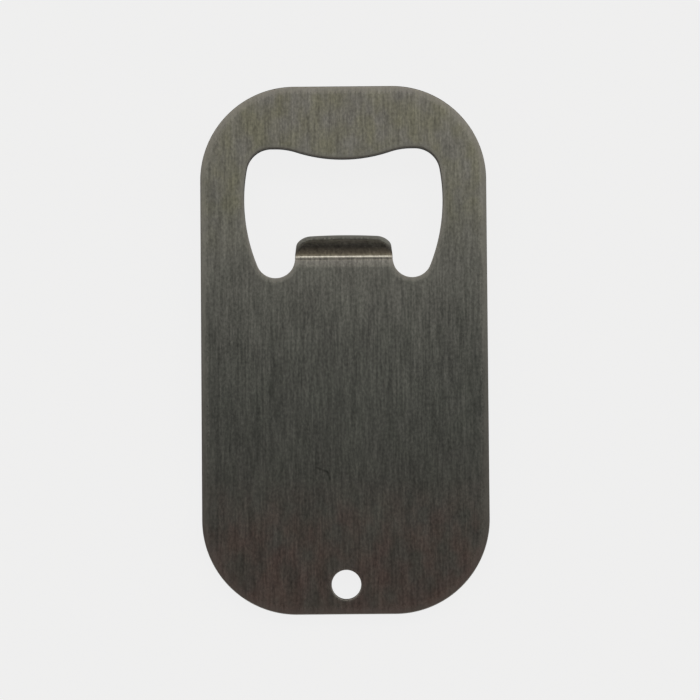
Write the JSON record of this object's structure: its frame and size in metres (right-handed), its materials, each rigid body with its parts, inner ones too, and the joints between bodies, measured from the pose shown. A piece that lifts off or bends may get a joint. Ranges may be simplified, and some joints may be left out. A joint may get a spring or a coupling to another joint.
{
  "type": "keychain bottle opener",
  "caption": "Flat stamped steel bottle opener with a cap opening, a bent hooking tab and a hole for a key ring.",
  "frame": {"origin": "middle of the plate, on its flat back face", "axes": "+Y along the plate towards the cap opening, +Z out of the front face, +X across the plate; the tab bends towards -Z"},
  "size_m": [0.038, 0.07, 0.0039],
  "materials": {
    "brushed_stainless": "fine straight brushing along the plate's length, tumbled edges"
  },
  "bodies": {
    "root": {"opener_plate": "brushed_stainless"}
  },
  "joints": []
}
